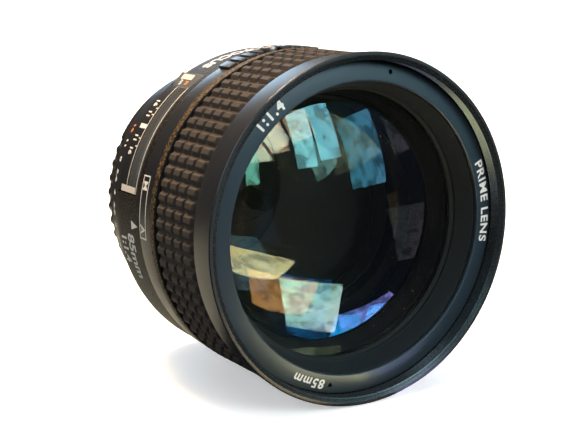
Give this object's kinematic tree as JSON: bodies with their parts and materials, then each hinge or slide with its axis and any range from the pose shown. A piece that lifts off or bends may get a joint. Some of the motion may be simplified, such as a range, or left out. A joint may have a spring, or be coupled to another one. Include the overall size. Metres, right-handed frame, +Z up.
{
  "type": "camera lens",
  "caption": "Prime camera lens with ribbed focus ring, distance window, scalloped aperture ring, iris diaphragm, sliding rear lens group and a bayonet that locks to a camera body.",
  "frame": {"origin": "centre of the bayonet flange face, on the optical axis", "axes": "+Y along the optical axis towards the camera, -Y out of the front glass, +Z up as the lens lies on its side"},
  "size_m": [0.08, 0.0779, 0.08],
  "materials": {
    "crinkle_black": "matte",
    "satin_black": "satin",
    "matte_black": "matte",
    "black_plastic": "matte",
    "rubber_black": "matte",
    "inner_alloy": "satin",
    "bright_alloy": "satin",
    "chrome": "polished",
    "brass": "satin",
    "gold": "gloss",
    "steel_blade": "satin",
    "coated_glass": "polished",
    "clear_plastic": "gloss"
  },
  "bodies": {
    "barrel": {"front_barrel": "crinkle_black", "name_ring": "satin_black", "front_baffle": "matte_black", "front_retaining_ring": "matte_black", "front_cell": "matte_black", "lens_1": "coated_glass", "lens_2": "coated_glass", "lens_3": "coated_glass", "main_barrel": "inner_alloy", "scale_barrel": "crinkle_black", "depth_scale_plate": "black_plastic", "scale_window": "clear_plastic", "collar_ring": "crinkle_black", "diaphragm_base": "matte_black", "mount_flange": "chrome", "mount_screw_1": "chrome", "mount_screw_2": "chrome", "mount_screw_3": "chrome", "mount_screw_4": "chrome", "mount_screw_5": "chrome", "contact_block": "black_plastic", "cpu_contacts": "gold", "rear_baffle": "matte_black"},
    "focus_ring": {"focus_ring": "satin_black", "focus_grip": "rubber_black"},
    "distance_drum": {"distance_scale_drum": "satin_black"},
    "focus_cam": {"cam_ring": "inner_alloy", "focus_gear": "brass", "focus_drive_key": "brass"},
    "rear_group": {"rear_cell": "matte_black", "lens_4": "coated_glass", "lens_5": "coated_glass", "lens_6": "coated_glass", "lens_7": "coated_glass", "lens_8": "coated_glass", "lens_9": "coated_glass", "rear_retaining_ring": "matte_black", "guide_roller_1": "bright_alloy", "guide_roller_2": "bright_alloy", "guide_roller_3": "bright_alloy"},
    "af_drive": {"af_drive_shaft": "bright_alloy"},
    "am_ring": {"am_ring": "satin_black", "am_button_spring": "bright_alloy"},
    "am_button": {"am_lock_button": "chrome"},
    "diaphragm_ring": {"diaphragm_drive_ring": "bright_alloy"},
    "blade_1": {"blade_1": "steel_blade"},
    "blade_2": {"blade_2": "steel_blade"},
    "blade_3": {"blade_3": "steel_blade"},
    "blade_4": {"blade_4": "steel_blade"},
    "blade_5": {"blade_5": "steel_blade"},
    "blade_6": {"blade_6": "steel_blade"},
    "blade_7": {"blade_7": "steel_blade"},
    "blade_8": {"blade_8": "steel_blade"},
    "blade_9": {"blade_9": "steel_blade"},
    "aperture_ring": {"aperture_ring": "satin_black"},
    "aperture_lock": {"aperture_lock": "black_plastic"}
  },
  "joints": [
    {"name": "aperture_ring_turn", "type": "hinge", "parent": "barrel", "child": "aperture_ring", "pos_m": [0, 0, 0], "axis": [0, 1, 0], "range_deg": [0, 46.9]},
    {"name": "aperture_lock_slide", "type": "slide", "parent": "aperture_ring", "child": "aperture_lock", "axis": [0, 1, 0], "range_m": [-0.002, 0]},
    {"name": "am_ring_turn", "type": "hinge", "parent": "barrel", "child": "am_ring", "pos_m": [0, 0, 0], "axis": [0, 1, 0], "range_deg": [-15.1, 0]},
    {"name": "am_button_press", "type": "slide", "parent": "am_ring", "child": "am_button", "axis": [-0.1478, 0, 0.989], "range_m": [-0.0006, 0], "stiffness_N_per_m": 250, "springref_m": 0.0004},
    {"name": "focus_ring_turn", "type": "hinge", "parent": "barrel", "child": "focus_ring", "pos_m": [0, 0, 0], "axis": [0, 1, 0], "range_deg": [0, 150]},
    {"name": "distance_scale_turn", "type": "hinge", "parent": "barrel", "child": "distance_drum", "pos_m": [0, 0, 0], "axis": [0, 1, 0], "range_deg": [0, 150]},
    {"name": "focus_cam_turn", "type": "hinge", "parent": "barrel", "child": "focus_cam", "pos_m": [0, 0, 0], "axis": [0, 1, 0], "range_deg": [0, 150]},
    {"name": "af_drive_turn", "type": "hinge", "parent": "barrel", "child": "af_drive", "pos_m": [0.02081, 0, -0.01641], "axis": [0, 1, 0], "range_deg": [0, 1000.1]},
    {"name": "focus_group_slide", "type": "slide", "parent": "barrel", "child": "rear_group", "axis": [0, -1, 0], "range_m": [0, 0.0055]},
    {"name": "diaphragm_ring_turn", "type": "hinge", "parent": "barrel", "child": "diaphragm_ring", "pos_m": [0, 0, 0], "axis": [0, 1, 0], "range_deg": [0, 29.4]},
    {"name": "blade_1_turn", "type": "hinge", "parent": "barrel", "child": "blade_1", "pos_m": [0, -0.0403, 0.0266], "axis": [0, 1, 0], "range_deg": [-33.4, 0]},
    {"name": "blade_2_turn", "type": "hinge", "parent": "barrel", "child": "blade_2", "pos_m": [0.0171, -0.04005, 0.02038], "axis": [0, 1, 0], "range_deg": [-33.4, 0]},
    {"name": "blade_3_turn", "type": "hinge", "parent": "barrel", "child": "blade_3", "pos_m": [0.0262, -0.0398, 0.00462], "axis": [0, 1, 0], "range_deg": [-33.4, 0]},
    {"name": "blade_4_turn", "type": "hinge", "parent": "barrel", "child": "blade_4", "pos_m": [0.02304, -0.03955, -0.0133], "axis": [0, 1, 0], "range_deg": [-33.4, 0]},
    {"name": "blade_5_turn", "type": "hinge", "parent": "barrel", "child": "blade_5", "pos_m": [0.0091, -0.0393, -0.025], "axis": [0, 1, 0], "range_deg": [-33.4, 0]},
    {"name": "blade_6_turn", "type": "hinge", "parent": "barrel", "child": "blade_6", "pos_m": [-0.0091, -0.03905, -0.025], "axis": [0, 1, 0], "range_deg": [-33.4, 0]},
    {"name": "blade_7_turn", "type": "hinge", "parent": "barrel", "child": "blade_7", "pos_m": [-0.02304, -0.0388, -0.0133], "axis": [0, 1, 0], "range_deg": [-33.4, 0]},
    {"name": "blade_8_turn", "type": "hinge", "parent": "barrel", "child": "blade_8", "pos_m": [-0.0262, -0.03855, 0.00462], "axis": [0, 1, 0], "range_deg": [-33.4, 0]},
    {"name": "blade_9_turn", "type": "hinge", "parent": "barrel", "child": "blade_9", "pos_m": [-0.0171, -0.0383, 0.02038], "axis": [0, 1, 0], "range_deg": [-33.4, 0]}
  ],
  "couplings": [
    {"joint": "distance_scale_turn", "follows": "focus_ring_turn", "ratio": 1},
    {"joint": "focus_cam_turn", "follows": "focus_ring_turn", "ratio": 1},
    {"joint": "af_drive_turn", "follows": "focus_ring_turn", "ratio": 6.6667},
    {"joint": "focus_group_slide", "follows": "focus_ring_turn", "m_per_rad": 0.0021008},
    {"joint": "diaphragm_ring_turn", "follows": "aperture_ring_turn", "ratio": 0.62686},
    {"joint": "blade_1_turn", "follows": "aperture_ring_turn", "ratio": -0.71215},
    {"joint": "blade_2_turn", "follows": "aperture_ring_turn", "ratio": -0.71215},
    {"joint": "blade_3_turn", "follows": "aperture_ring_turn", "ratio": -0.71215},
    {"joint": "blade_4_turn", "follows": "aperture_ring_turn", "ratio": -0.71215},
    {"joint": "blade_5_turn", "follows": "aperture_ring_turn", "ratio": -0.71215},
    {"joint": "blade_6_turn", "follows": "aperture_ring_turn", "ratio": -0.71215},
    {"joint": "blade_7_turn", "follows": "aperture_ring_turn", "ratio": -0.71215},
    {"joint": "blade_8_turn", "follows": "aperture_ring_turn", "ratio": -0.71215},
    {"joint": "blade_9_turn", "follows": "aperture_ring_turn", "ratio": -0.71215}
  ]
}
